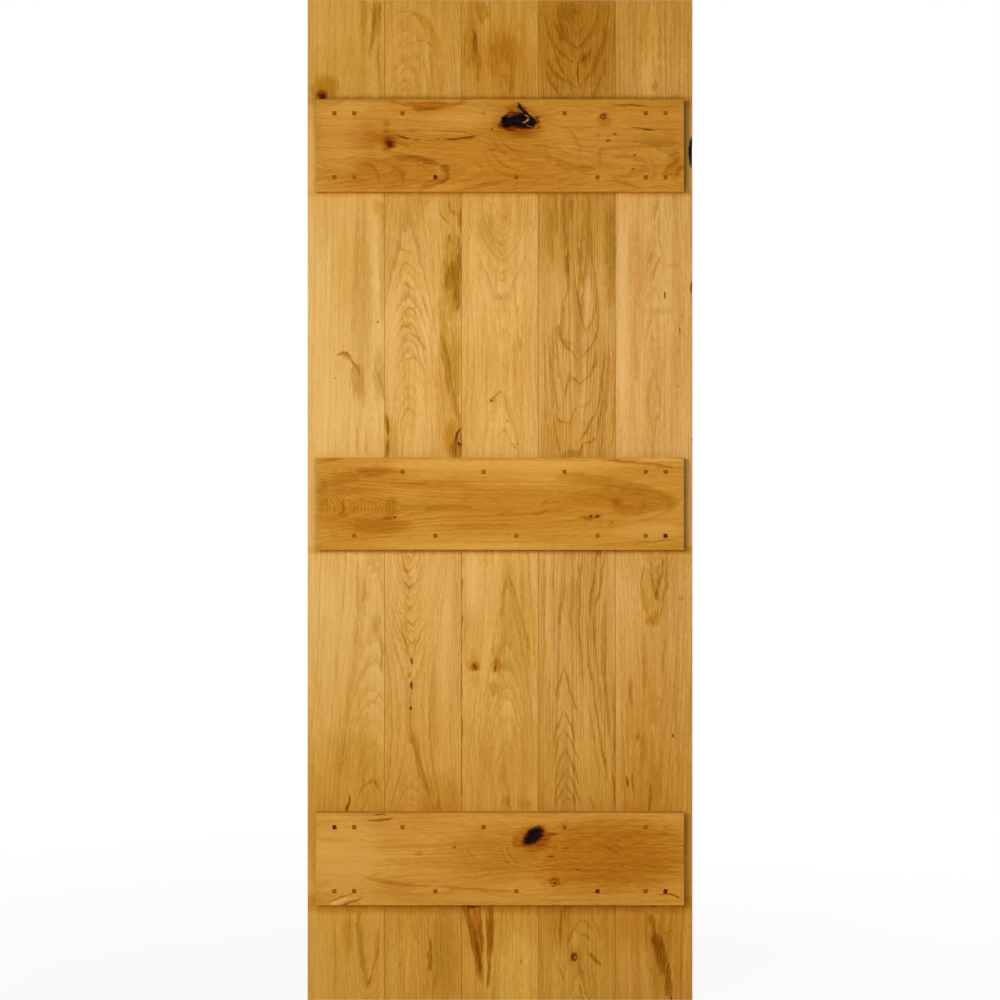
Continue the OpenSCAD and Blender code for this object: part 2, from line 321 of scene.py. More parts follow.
# Oiled oak: planed smooth, satin, with open pores. Its rings run through the thickness, its strokes lie on
# the ledged side, and only the knots listed as through come out on the flush side.
def oiledOak(name, piece, origin, grainAxis, grainRange):
    material, tree = newMaterial(name)
    coordinates = addNode(tree, "TexCoord").outputs
    local = addNode(tree, "VectorMath SUBTRACT", coordinates["Object"], origin)
    local = addNode(tree, "VectorMath MULTIPLY", local, (1 / mm,) * 3)
    axes = addNode(tree, "SeparateXYZ", local).outputs
    along, across, depth = axes[grainAxis], axes["X" if grainAxis == "Z" else "Z"], axes["Y"]
    share = addNode(tree, "MapRange", along, grainRange[0], grainRange[1])

    pith = {}
    for column, label in ((1, "across"), (2, "depth")):
        values = [row[column] for row in piece["pith"]]
        low, high = min(values) - pithMargin, max(values) + pithMargin
        curve = addNode(tree, "FloatCurve", {1: share})
        points = curve.mapping.curves[0].points
        spots = sorted(
            ((row[0] - grainRange[0]) / (grainRange[1] - grainRange[0]), (row[column] - low) / (high - low))
            for row in piece["pith"]
        )
        points[0].location, points[1].location = spots[0], spots[-1]
        for spot in spots[1:-1]:
            points.new(*spot)
        curve.mapping.update()
        pith[label] = addNode(tree, "MapRange", {0: curve, 3: low, 4: high})

    grainwise = addNode(tree, "CombineXYZ", across, depth, along)

    def grainNoise(size, start):
        shrink = (1 / size["across"], 1 / size["across"], 1 / size["along"])
        scaled = addNode(tree, "VectorMath MULTIPLY_ADD", grainwise, shrink, (start,) * 3)
        noise = addNode(tree, "TexNoise", {"Vector": scaled, "Scale": 1, "Detail": size["detail"]})
        return addNode(tree, "Math SUBTRACT", noise, noiseMean)

    taking = addNode(
        tree, "MapRange", grainNoise(pull, piece["seed"] + pull["start"]), -pull["swing"], pull["swing"],
        pull["least"], pull["most"],
    )
    grit = grainNoise(fibre, piece["seed"])
    swayed = []
    for axis, start in sway["starts"].items():
        stray = grainNoise(sway, start)
        swayed.append(addNode(tree, "Math MULTIPLY_ADD", stray, sway["reach"], axes[axis]))
    face = addNode(tree, "CombineXYZ", *swayed)

    def stroke(x, z, halfX, halfZ, turn, bow, blunt, fade, edge, ragged, strength):
        cosine, sine = math.cos(turn), math.sin(turn)
        return addNode(tree, "Group", {
            "Place": face, "At": (x, z, 0), "Bow": bow / halfZ, "Blunt": blunt, "Fade": fade,
            "Endwise": (cosine / halfX, sine / halfX, 0), "Sidewise": (-sine / halfZ, cosine / halfZ, 0),
            "Grit": grit, "Edge": edge, "Ragged": ragged, "Strength": strength,
        }, node_tree=strokeTree).outputs["Mask"]

    swell = 0.0
    for x, z, halfX, halfZ, push in piece.get("swells", []):
        mask = stroke(x, z, halfX, halfZ, turn=0, bow=0, blunt=1, fade=1, edge=1, ragged=0, strength=push)
        swell = addNode(tree, "Math ADD", mask, swell)

    figure = addNode(tree, "Group", {
        "Along": along, "Across": across, "Depth": depth,
        "Pith Across": pith["across"], "Pith Depth": pith["depth"], "Swell": swell,
        "Ring Width": piece["ringWidth"], "Squeeze": piece["squeeze"],
        "Jag": piece["jag"], "Wander": piece["wander"], "Seed": piece["seed"],
        "Pale": toLinear(piece["pale"]), "Honey": toLinear(piece["honey"]), "Brown": toLinear(piece["brown"]),
        "Figure": piece["figure"], "Streak": piece["streak"], "Patch": piece["patch"],
    }, node_tree=figureTree).outputs

    normal = addNode(tree, "VectorMath ABSOLUTE", coordinates["Normal"])
    parts = addNode(tree, "SeparateXYZ", normal).outputs
    steepest = addNode(tree, "Math MAXIMUM", parts[0], parts[1])
    steepest = addNode(tree, "Math MAXIMUM", steepest, parts[2])
    # Arrises are painted paler: partly wear, partly a painted highlight on the eased edges
    arris = addNode(tree, "MapRange", steepest, arrisTurn[0], arrisTurn[1], 0.0, piece["arris"])
    wearAndHighlight = toLinear(piece["pale"])
    bare = addNode(tree, "Mix", {0: arris, 6: figure["Colour"], 7: wearAndHighlight}, data_type="RGBA").outputs[2]

    def paint(spots, lines):
        strokes = []
        for kind, rows in spots.items():
            for x, z, halfX, halfZ, strength, *lean in rows:
                turn = math.radians(lean[0]) if lean else 0
                bow, blunt, fade = 0, 1, 1  # a plain ellipse
                strokes.append((kind, x, z, halfX, halfZ, turn, bow, blunt, fade, strength))
        for kind, rows in lines.items():
            blunt, fade = (stains.get(kind) or covers[kind])[3:]
            for halfWidth, strength, *run in rows:
                points = list(zip(run[::2], run[1::2]))
                for first in range(0, len(points) - 1, 2):
                    crown, reach, turn, bow = alongArc(points[first:first + 3])
                    strokes.append((kind, *crown, reach, halfWidth, turn, bow, blunt, fade, strength))

        layers = {}
        for kind, *shape, strength in strokes:
            if kind in stains:
                mask = stroke(*shape, *stains[kind][1:3], strength)
                mask = addNode(tree, "Math MAXIMUM", layers.get(kind, 0.0), mask)
                layers[kind] = mask
        for kind, mask in layers.items():
            layers[kind] = addNode(tree, "Math MULTIPLY", mask, taking)
        kept = []
        for channel in range(3):
            taken = 0.0
            for kind, mask in layers.items():
                share = math.log(toLinear(stains[kind][0])[channel]) * (-1 if kind == "sap" else 1)
                taken = addNode(tree, "Math MULTIPLY_ADD", mask, share, taken)
            kept.append(addNode(tree, "Math EXPONENT", taken))
        stained = addNode(tree, "CombineColor", *kept)
        painted = addNode(
            tree, "Mix", {0: 1.0, 6: bare, 7: stained}, data_type="RGBA", blend_type="MULTIPLY"
        ).outputs[2]
        for kind, *shape, strength in strokes:
            if kind in covers:
                tint, edge, ragged, *_ = covers[kind]
                mask = stroke(*shape, edge, ragged, strength)
                painted = addNode(
                    tree, "Mix", {0: mask, 6: painted, 7: toLinear(tint)}, data_type="RGBA"
                ).outputs[2]
        return painted

    front = addNode(tree, "MapRange", depth, paintedDepth[0], paintedDepth[1], 1.0, 0.0)
    flush = paint(piece["through"], {}) if "through" in piece else bare
    ledged = paint(piece["spots"], piece["lines"])
    colour = addNode(tree, "Mix", {0: front, 6: flush, 7: ledged}, data_type="RGBA").outputs[2]

    # Towards the leaf's top and bottom the colour is multiplied towards amber
    height = addNode(tree, "SeparateXYZ", coordinates["Object"]).outputs["Z"]
    fromHeart = addNode(tree, "Math SUBTRACT", height, endTint["heart"] * mm)
    fromHeart = addNode(tree, "Math ABSOLUTE", fromHeart)
    amber = addNode(
        tree, "MapRange", fromHeart, endTint["near"] * mm, endTint["far"] * mm, 0.0, piece["amber"],
        interpolation_type="SMOOTHSTEP",
    )
    colour = addNode(
        tree, "Mix", {0: amber, 6: colour, 7: toLinear(endTint["amber"])}, data_type="RGBA", blend_type="MULTIPLY"
    ).outputs[2]

    bump = addNode(tree, "Bump", {
        "Strength": finish["bump"], "Distance": finish["poreDepth"] * mm, "Height": figure["Height"],
    })
    rough, smooth = finish["roughness"]
    roughness = addNode(tree, "MapRange", {0: figure["Height"], 3: rough, 4: smooth})
    shader = addNode(tree, "BsdfPrincipled", {
        "Base Color": colour, "Roughness": roughness, "Normal": bump,
        "IOR": finish["ior"], "Specular IOR Level": finish["specular"],
    })
    addNode(tree, "OutputMaterial", shader)
    return material


def dress(node, material):
    mesh = cadNodes[node].data
    mesh.materials.clear()
    mesh.materials.append(material)


# Boards, left to right. pith: height, across and depth in mm. spots of each kind: x, height, half width,
# half height, strength and lean in degrees. lines of each kind: half width, strength, then x and height of
# each point. through: spots of the knots that come out on the flush side. x counts from the board's middle.
boards = {}
boards["board_1"] = dict(
    seed=1, pale="#E6BA70", honey="#D4A24E", brown="#A86E1E", figure=0.42, streak=0.95, patch=0.8, arris=0.4,
    amber=0.85, ringWidth=8, squeeze=1.4, jag=0.8, wander=1.2,
    pith=[(0, 42, 70), (150, 44, 36), (430, 48, 60), (760, 52, 110), (1000, 52, 120), (1981, 52, 140)],
    through=dict(halo=[(-42, 1800, 20, 22, 0.7)], pin=[(-44, 1797, 7, 7, 0.7)]),
    spots=dict(
        streak=[(60, 1945, 16, 46, 0.6), (34, 1945, 9, 66, 0.45), (4, 130, 14, 60, 0.4)],
        halo=[(-42, 1806, 34, 34, 0.8)], crack=[(-47, 1792, 14, 13, 0.7)],
        pin=[(-48, 1790, 8, 7, 0.7), (63, 1344, 2.5, 3, 0.5), (-21.5, 1232, 2, 2.5, 0.4)],
        olive=[(-56, 1790, 16, 20, 0.6), (0, 1815, 150, 110, 0.3), (36, 470, 50, 120, 0.25)],
        red=[(62, 1572, 14, 20, 0.25), (60, 100, 7, 40, 0.3)],
        shade=[
            (30, 1385, 26, 240, 0.42), (66, 1240, 14, 70, 0.4), (2, 1276, 18, 9, 0.6, -35),
            (24, 1234, 17, 56, 0.8), (36, 790, 9, 44, 0.4), (60, 745, 12, 30, 0.5),
        ],
        amber=[(0, 380, 130, 190, 0.75)], pale=[(-45, 1250, 24, 300, 0.3)],
    ),
    lines=dict(
        shade=[
            (3.4, 0.5, 36, 1594, 30, 1465, 25, 1336), (8, 0.4, 72, 1580, 73, 1340),
            (4.8, 1.3, -16, 1277, -4, 1283, 8, 1268, 20, 1256, 27, 1234), (3.4, 0.5, 15, 1262, 17, 1188),
            (3.4, 0.55, 25, 1245, 26, 1185), (3.4, 0.55, 34, 1275, 34, 1178), (3, 0.4, 38, 1346, 38, 1300),
            (3.4, 0.8, 60, 1257, 75, 1189), (2.6, 0.4, 42, 1140, 48, 1154, 54, 1136),
            (3, 0.4, 20, 1144, 24, 1078), (3, 0.4, 38, 1140, 40, 1080), (3.6, 0.36, 23, 888, 23, 770),
            (8, 0.32, 36, 778, 19, 690, -2, 538, -9, 492, -15, 447), (3.4, 0.5, 69, 724, 71, 650),
            (3.4, 0.5, 38, 560, 51, 606, 74, 552),
        ],
        vein=[
            (3.5, 0.6, 54, 1977, 55, 1920, 47, 1872), (2.3, 0.4, 66, 1905, 66, 1818),
            (2.3, 0.4, 68, 1977, 68, 1937), (2.3, 0.36, 38, 1784, 47, 1816, 52, 1784),
            (3.5, 0.48, 20, 396, 48, 436, 68, 386), (2.1, 0.28, -21, 150, -21, 4),
        ],
        crack=[(4, 0.7, -1, 370, 9, 410)], streak=[(5, 0.65, 24, 177, 30, 80, 42, 28)],
        red=[(4, 0.5, 42, 28, 57, 70, 63, 140)],
    ),
)
boards["board_2"] = dict(
    seed=2, pale="#E2B062", honey="#CC9640", brown="#8E5A14", figure=0.5, streak=1.2, patch=0.9, arris=0.4,
    amber=0.85, ringWidth=7, squeeze=1.6, jag=1.0, wander=1.2,
    pith=[
        (0, -22, 40), (300, -22, 60), (565, -24, 104), (990, -26, 30), (1250, -28, 70), (1560, -32, 122),
        (1790, -36, 130), (1981, -30, 196),
    ],
    through=dict(halo=[(-22, 575, 12, 20, 0.6)], pin=[(-22, 575, 4, 5, 0.9)]),
    spots=dict(
        olive=[
            (58, 1430, 26, 120, 0.9), (0, 1580, 130, 60, 0.3), (62, 1262, 17, 110, 0.8),
            (-64, 1110, 14, 60, 0.5), (44, 90, 34, 120, 0.6),
        ],
        smudge=[
            (60, 1436, 18, 34, 0.45), (72, 1465, 7, 60, 0.5), (66, 1400, 12, 42, 0.45),
            (48, 1424, 9, 22, 0.35), (51, 1508, 4, 14, 0.5), (74, 1545, 5, 36, 0.5),
            (66, 1090, 16, 28, 0.55), (-70, 1140, 5, 28, 0.8), (-70, 1096, 5, 26, 0.6),
            (30, 388, 5, 14, 0.25), (-56, 104, 3, 5, 0.3), (-46, 70, 3, 5, 0.3),
        ],
        halo=[(58, 1112, 26, 46, 0.7)], pink=[(73, 1116, 4, 12, 0.5)],
        pin=[(-23, 671, 2.8, 9.5, 0.85), (-23, 621, 2.8, 11, 0.9), (-24, 578, 4.6, 5, 1.0)],
        red=[(-27, 644, 5, 8, 0.6)], amber=[(30, 400, 54, 60, 0.6)],
        sap=[(-10, 1140, 60, 120, 0.4), (-10, 1330, 80, 150, 0.35), (-20, 50, 90, 100, 0.5)],
        pale=[(20, 1560, 20, 30, 0.3), (-62, 1300, 12, 180, 0.3), (44, 690, 24, 170, 0.25)],
    ),
    lines=dict(
        vein=[
            (2.4, 0.36, -46, 1446, -34, 1494, -12, 1470), (1.6, 0.24, -60, 1788, -36, 1822, -12, 1788),
            (1.6, 0.24, -66, 1798, -34, 1846, -2, 1792), (1.6, 0.22, -72, 1826, -31, 1876, 14, 1800),
            (1.6, 0.24, -74, 1856, -28, 1914, 28, 1812), (1.6, 0.22, -74, 1904, -26, 1956, 28, 1876),
            (2.4, 0.36, -48, 1420, -34, 1462, -6, 1430), (2.8, 0.42, -38, 1424, -30, 1412, -14, 1408),
            (2.7, 0.32, 0, 1396, 11, 1351), (2.5, 0.4, -44, 1362, -32, 1376, -12, 1344),
            (2.5, 0.42, -46, 1326, -36, 1338, -24, 1318), (2.5, 0.42, -30, 1324, -10, 1312, 4, 1284),
            (2.3, 0.28, -50, 1262, -32, 1280, 4, 1235), (2.5, 0.36, -40, 1150, -26, 1172, -14, 1150),
            (2.7, 0.4, 50, 1590, 56, 1564, 70, 1552), (2.7, 0.4, 29, 1584, 34, 1556, 56, 1534),
            (3.1, 0.44, 33, 1330, 46, 1289, 57, 1211, 66, 1170, 74, 1136),
            (2.5, 0.32, 35, 1300, 47, 1240, 52, 1190), (3.1, 0.48, -40, 874, -26, 847, -14, 868),
            (3.1, 0.44, -36, 832, -25, 815, -14, 830), (2.9, 0.4, -38, 796, -26, 776, -12, 798),
            (2.7, 0.36, -36, 760, -26, 741, -10, 764), (2.7, 0.36, -38, 730, -27, 707, -10, 734),
            (2.3, 0.28, -46, 752, -24, 672), (2.3, 0.28, 0, 740, -22, 676), (2.1, 0.4, -24, 612, -24, 534),
            (2.5, 0.36, 12, 182, 12, 0), (3.5, 0.36, 24, 54, 24, 18),
        ],
        sap=[
            (1.6, 0.6, -56, 1786, -36, 1812, -16, 1786), (1.6, 0.6, -64, 1792, -35, 1834, -6, 1790),
            (1.6, 0.6, -70, 1806, -33, 1858, 4, 1796), (1.6, 0.6, -73, 1838, -30, 1892, 20, 1806),
            (1.6, 0.5, -74, 1880, -27, 1934, 30, 1840), (1.6, 0.5, -74, 1922, -26, 1972, 30, 1890),
        ],
        olive=[(11, 0.7, 34, 1390, 48, 1270, 70, 1140)],
        pin=[(2.6, 0.95, 76, 1134, 66, 1122, 64, 1104), (2.4, 0.9, 66, 1106, 72, 1102, 77, 1094)],
        streak=[
            (7, 0.3, -16, 1955, 14, 1932, 32, 1857, 36, 1820, 38, 1784),
            (6, 0.5, -24, 532, -15, 487, 8, 412),
        ],
        smudge=[(4, 0.45, 15, 118, 15, 58)],
    ),
)
boards["board_3"] = dict(
    seed=3, pale="#E2B262", honey="#CC9644", brown="#9A6418", figure=0.4, streak=1.2, patch=0.9, arris=0.4,
    amber=0.9, ringWidth=7, squeeze=1.5, jag=0.9, wander=1.2,
    pith=[
        (0, -10, 40), (400, 5, 52), (790, 16, 100), (1090, 2, 110), (1285, 4, 126), (1580, 4, 66),
        (1981, 4, 40),
    ],
    through=dict(
        halo=[(-50, 662, 18, 22, 0.8), (-8, 657, 14, 18, 0.7)],
        crack=[(-50, 661, 5, 8, 0.8), (-8, 657, 3.5, 8, 0.8)],
    ),
    spots=dict(
        streak=[(-50, 1890, 7, 42, 0.7), (-43, 1846, 6, 36, 0.6)],
        halo=[
            (6, 1866, 46, 64, 0.5), (-16, 1188, 9, 10, 0.4), (-52, 664, 18, 20, 0.45),
            (-8, 662, 15, 22, 0.6),
        ],
        amber=[(0, 1850, 120, 110, 0.8)],
        red=[
            (22, 1812, 8, 24, 0.35), (-50, 660, 13, 11, 0.7), (-8, 668, 7, 18, 0.5), (11, 396, 12, 16, 0.3),
            (50, 388, 14, 10, 0.3),
        ],
        gold=[(8, 1846, 14, 16, 0.3)],
        olive=[
            (-60, 1900, 16, 90, 0.5), (-26, 1523, 30, 46, 0.4), (35, 730, 48, 180, 0.4),
            (-54, 688, 12, 14, 0.3), (-52, 636, 12, 16, 0.3), (-4, 692, 17, 18, 0.6),
            (-12, 618, 15, 17, 0.6),
        ],
        pale=[(60, 1900, 12, 90, 0.25), (-52, 830, 24, 85, 0.35), (11, 581, 14, 24, 0.4)],
        pin=[
            (-16.6, 1187.6, 3.4, 3.4, 0.85), (15, 1148, 2, 3, 0.35), (36, 1103, 2, 3, 0.4),
            (44, 1181, 2, 3, 0.3), (42, 77, 2, 6, 0.4),
        ],
        sap=[(0, 1360, 80, 110, 0.5), (35, 40, 90, 120, 1.2), (0, 590, 90, 110, 0.35)],
        crack=[(-9, 656, 2.8, 9, 0.8), (-54, 187, 20, 6, 0.75)],
    ),
    lines=dict(
        streak=[(5, 0.6, -45, 1977, -32, 1932), (6, 0.6, -35, 1977, -21, 1944)],
        vein=[
            (2.7, 0.32, -51, 1921, -51, 1891, -45, 1846), (2.1, 0.32, -4, 1566, 5, 1545, 12, 1572),
            (2.1, 0.32, -6, 1513, 5, 1492, 17, 1508), (2.1, 0.3, -6, 1494, 5, 1474, 16, 1490),
            (2.1, 0.28, -8, 1462, 5, 1440, 18, 1462), (2.3, 0.34, -8, 1446, 4, 1423, 17, 1446),
            (2.3, 0.34, -4, 1404, 3, 1388, 11, 1402), (2.1, 0.24, -11, 1453, -5, 1387, -2, 1340),
            (2.1, 0.24, 24, 1453, 30, 1387, 38, 1330), (2.5, 0.48, -15, 1190, -6, 1202, 4, 1207),
            (2.1, 0.32, 5, 1207, 14, 1175, 20, 1157), (2.1, 0.24, 24, 1266, 30, 1240, 27, 1216),
            (2.5, 0.36, -8, 1112, 2, 1130, 20, 1109), (2.3, 0.32, 20, 1109, 38, 1086),
            (2.3, 0.28, 35, 1330, 44, 1282), (2.9, 0.32, 3, 746, 9, 818, 17, 842),
            (2.9, 0.32, 17, 842, 36, 790, 57, 687), (2.3, 0.24, 12, 760, 18, 800, 26, 760),
        ],
        crack=[(1.8, 0.7, -55, 672, -51, 662, -46, 651)],
        smudge=[
            (7, 0.75, -68, 188, -50, 120, -37, 40), (4, 0.6, -40, 186, -36, 100),
            (8, 0.75, -18, 190, -18, 140, -21, 80), (4, 0.7, -21, 90, -23, 24),
            (2.6, 0.7, -77, 888, -77, 376),
        ],
        red=[(8, 0.6, -52, 186, -44, 120, -36, 60)], pale=[(3.4, 0.5, -30, 165, -29, 30)],
    ),
)
boards["board_4"] = dict(
    seed=4, pale="#DCAA5C", honey="#C48E3C", brown="#825010", figure=0.58, streak=1.1, patch=0.8, arris=0.4,
    amber=0.95, ringWidth=8, squeeze=1.7, jag=0.7, wander=1.0,
    pith=[
        (0, 4, 30), (190, 6, 52), (290, -10, 40), (380, -22, 38), (640, -24, 42), (890, -16, 46),
        (1075, -2, 46), (1200, 2, 40), (1320, 4, 36), (1600, 6, 28), (1700, 4, 60), (1790, 2, 78),
        (1981, 0, 14),
    ],
    through=dict(halo=[(-6, 86, 18, 26, 0.6)], crack=[(-6, 86, 7, 10, 1.0)], pink=[(-6, 86, 4, 6, 0.8)]),
    spots=dict(
        smudge=[(-18, 1955, 30, 26, 0.22), (-29, 1918, 16, 22, 0.2)],
        olive=[
            (0, 1890, 180, 150, 0.3), (0, 1540, 150, 130, 0.45), (-22, 1300, 12, 14, 0.6),
            (-14, 1080, 24, 14, 0.8), (-4, 812, 16, 30, 0.35),
        ],
        amber=[(0, 1890, 160, 150, 0.75), (0, 1110, 120, 60, 0.4)],
        sap=[(0, 40, 110, 120, 1.0), (0, 480, 100, 170, 0.5)],
        red=[(14, 1862, 9, 20, 0.6), (-18, 1462, 5, 34, 0.6), (44, 886, 7, 10, 0.6)],
        streak=[(10, 1430, 6, 26, 0.55), (32, 740, 8, 90, 0.2)],
        pale=[(22, 1385, 10, 60, 0.3), (-50, 700, 12, 160, 0.25)], halo=[(-5, 87, 20, 28, 0.35)],
        pin=[(-5.6, 87, 7.5, 11.5, 1.0)], pink=[(-5.4, 85.5, 3, 5.5, 0.9)],
    ),
    lines=dict(
        sap=[
            (2.4, 0.5, -43, 1977, -34, 1942, -16, 1929), (2.4, 0.5, -10, 1932, 14, 1928, 34, 1974),
            (2.2, 0.6, -56, 1880, -40, 1848, -14, 1816), (2.2, 0.6, 46, 1850, 36, 1818, 20, 1796),
            (1.8, 0.5, -12, 122, -5, 138, 8, 150), (1.8, 0.5, 33, 176, 40, 150, 48, 128),
            (1.8, 0.45, 50, 180, 58, 155, 66, 132), (1.8, 0.45, 20, 118, 36, 104, 52, 86),
        ],
        vein=[
            (3.3, 0.48, -46, 1940, -25, 1903, 2, 1885), (3.3, 0.48, 2, 1885, 16, 1897, 28, 1921),
            (3.3, 0.44, -50, 1906, -25, 1867, -1, 1855), (3.3, 0.44, -1, 1855, 16, 1864, 30, 1885),
            (3.5, 0.48, -62, 1864, -34, 1826, 2, 1807), (3.5, 0.48, 2, 1807, 34, 1840, 56, 1920),
            (3.1, 0.4, -60, 1846, -44, 1802, -25, 1783), (2.6, 0.36, -66, 1977, -46, 1880, -8, 1800),
            (2.6, 0.36, 64, 1977, 46, 1880, 8, 1800), (2.6, 0.36, -42, 1977, -28, 1915, -4, 1868),
            (2.6, 0.36, 44, 1977, 30, 1915, 6, 1868), (3.1, 0.4, 60, 1868, 46, 1820, 31, 1789),
            (2.2, 0.4, 28, 1480, 40, 1400, 40, 1320), (2.4, 0.42, 5, 1440, 4, 1375, 18, 1316),
            (2.4, 0.42, 36, 1420, 34, 1355, 17, 1316), (2.8, 0.5, -33, 1345, -31, 1302, -18, 1292),
            (2.8, 0.5, -24, 1296, -12, 1288, 2, 1266), (2.4, 0.46, 0, 1264, 26, 1284, 40, 1360),
            (2.2, 0.36, -41, 1340, -39, 1265, -26, 1196), (2.6, 0.46, -10, 1248, -16, 1222, -27, 1192),
            (2.6, 0.44, -14, 1242, -2, 1225, 12, 1221), (2.6, 0.44, 4, 1220, 28, 1240, 40, 1290),
            (2.2, 0.38, -49, 1340, -46, 1240, -36, 1150), (2.4, 0.44, -41, 1172, -32, 1144, -12, 1142),
            (2.4, 0.44, -17, 1138, -11, 1160, 2, 1178), (2.4, 0.26, -3, 1174, 16, 1176, 30, 1200),
            (2.8, 0.5, 57, 1310, 52, 1232, 37, 1156), (2.8, 0.5, 40, 1164, 28, 1146, 6, 1110),
            (2.2, 0.34, -57, 1320, -50, 1240, -45, 1150), (2.2, 0.36, -46, 1170, -43, 1120, -31, 1078),
            (2.4, 0.48, 59, 1235, 48, 1160, 36, 1112), (2.6, 0.48, 40, 1120, 28, 1107, 12, 1102),
            (2.6, 0.48, 18, 1104, 8, 1096, 3, 1074), (2.4, 0.36, 65, 1310, 60, 1210, 45, 1080),
            (2.4, 0.36, 73, 1300, 74, 1190, 68, 1080), (2.2, 0.26, -66, 1330, -60, 1180, -58, 1080),
            (2, 0.55, 41, 892, 29, 820, 22, 740), (2, 0.55, 22, 755, 24, 665, 35, 600),
            (2, 0.55, 33, 612, 46, 520, 65, 420), (2.4, 0.5, 58, 892, 48, 828, 34, 760),
            (2.4, 0.45, 35, 772, 33, 720, 39, 665), (1.8, 0.35, 38, 690, 44, 620, 52, 550),
            (2.4, 0.4, 54, 640, 60, 570, 67, 495), (2.2, 0.42, 74, 640, 75, 520, 73, 430),
            (2.6, 0.4, 8, 880, 7, 810, 3, 735), (2.4, 0.36, 3, 745, 6, 690, 12, 620),
            (2.2, 0.34, -22, 835, -26, 800, -24, 760), (2, 0.4, -30, 790, -32, 765, -37, 738),
            (2.2, 0.34, -47, 870, -46, 780, -45, 680), (2.2, 0.3, -66, 880, -64, 760, -66, 620),
            (2.4, 0.46, -42, 588, -36, 628, -26, 660), (2.4, 0.5, -26, 660, -13, 612, 3, 566),
            (2.4, 0.5, -47, 495, -40, 540, -26, 578), (2.2, 0.4, -26, 578, -12, 548, -3, 505),
            (2.2, 0.4, -45, 465, -38, 512, -25, 539), (2.2, 0.44, -25, 539, -10, 512, 3, 476),
            (2.4, 0.44, -42, 425, -36, 470, -24, 498), (2.6, 0.52, -24, 498, -9, 470, 6, 425),
            (2.2, 0.44, -48, 383, -36, 432, -22, 457), (2.2, 0.44, -22, 457, -7, 430, 8, 383),
            (2.2, 0.42, -43, 384, -34, 412, -22, 428), (2.2, 0.42, -22, 428, -9, 408, -1, 382),
            (2.2, 0.42, -34, 380, -22, 402, -8, 380), (2, 0.34, 23, 580, 30, 548, 37, 500),
            (2, 0.3, 33, 520, 38, 480, 46, 440), (2.2, 0.36, 24, 406, 31, 390, 37, 376),
            (1.8, 0.36, -43, 170, -42, 115), (2.2, 0.44, -21, 104, -12, 132, 6, 159),
            (2.2, 0.44, 4, 158, 18, 157, 28, 138), (2.2, 0.4, 3, 130, 12, 133, 28, 114),
            (2, 0.36, 26, 184, 36, 158, 46, 126), (2.6, 0.4, 4, 72, 8, 60, 13, 46),
            (2.6, 0.4, 5, 37, 9, 22, 13, 2), (2, 0.36, -37, 68, -31, 52, -25, 34),
        ],
        crack=[(4, 0.55, 2, 1858, 2, 1815), (3.4, 0.4, 25, 1884, 26, 1854)],
        streak=[
            (4, 0.55, -28, 1602, -26, 1540, -24, 1480, -19, 1450, -15, 1415),
            (3.6, 0.5, -17, 1440, -16, 1405, -27, 1380, -31, 1350, -31, 1310),
            (2.6, 0.5, -40, 1600, -38, 1520), (2.4, 0.4, -50, 1570, -48, 1460),
            (2.4, 0.3, -57, 1590, -56, 1480), (3.4, 0.5, -13, 1596, -10, 1545),
            (6, 0.45, 21, 1600, 25, 1530, 26, 1470), (9, 0.43, 67, 1580, 69, 1480, 70, 1370),
            (4, 0.5, 55, 800, 51, 710, 55, 610), (4, 0.7, -25, 190, -32, 155, -34, 108),
        ],
        smudge=[(2.4, 0.5, 73, 445, 75, 380), (4, 0.5, 23, 93, 33, 84, 47, 70)],
    ),
)
